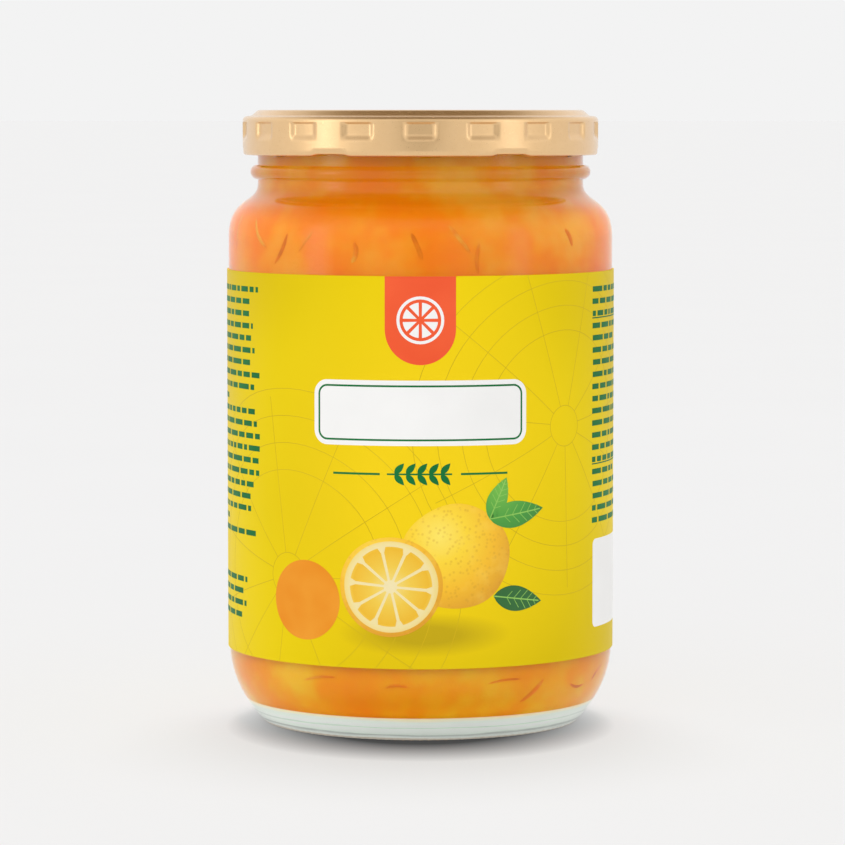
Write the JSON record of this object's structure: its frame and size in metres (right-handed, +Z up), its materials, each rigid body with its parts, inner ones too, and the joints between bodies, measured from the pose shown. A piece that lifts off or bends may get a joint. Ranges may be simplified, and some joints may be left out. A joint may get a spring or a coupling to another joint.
{
  "type": "jar of citrus preserve",
  "caption": "Round glass jar of orange citrus preserve with a wraparound paper label and a gold lug lid that twists open.",
  "frame": {"origin": "centre of the jar's foot, on the surface that it stands on", "axes": "+Z up along the jar's axis, -Y towards the front of the label"},
  "size_m": [0.0938, 0.0938, 0.1481],
  "materials": {
    "clear_glass": "clear, smooth pressed and blown flint glass",
    "citrus_preserve": "wet, translucent orange jelly with peel shreds",
    "yellow_paper": "coated printed paper, semi-gloss",
    "sealing_compound": "soft matt sealing compound",
    "gold_lacquer": "satin champagne-gold lacquer on tinplate"
  },
  "bodies": {
    "jar": {"glass_jar": "clear_glass", "preserve": "citrus_preserve", "label": "yellow_paper"},
    "seal": {"lid_liner": "sealing_compound"},
    "lid": {"lid_shell": "gold_lacquer"}
  },
  "joints": [
    {"name": "lid_rise", "type": "slide", "parent": "jar", "child": "seal", "axis": [0, 0, 1], "range_m": [0, 0.0034]},
    {"name": "lid_twist", "type": "hinge", "parent": "seal", "child": "lid", "pos_m": [0, 0, 0.1427], "axis": [0, 0, 1], "range_deg": [0, 45]}
  ],
  "couplings": [
    {"joint": "lid_rise", "follows": "lid_twist", "m_per_rad": 0.0043}
  ]
}
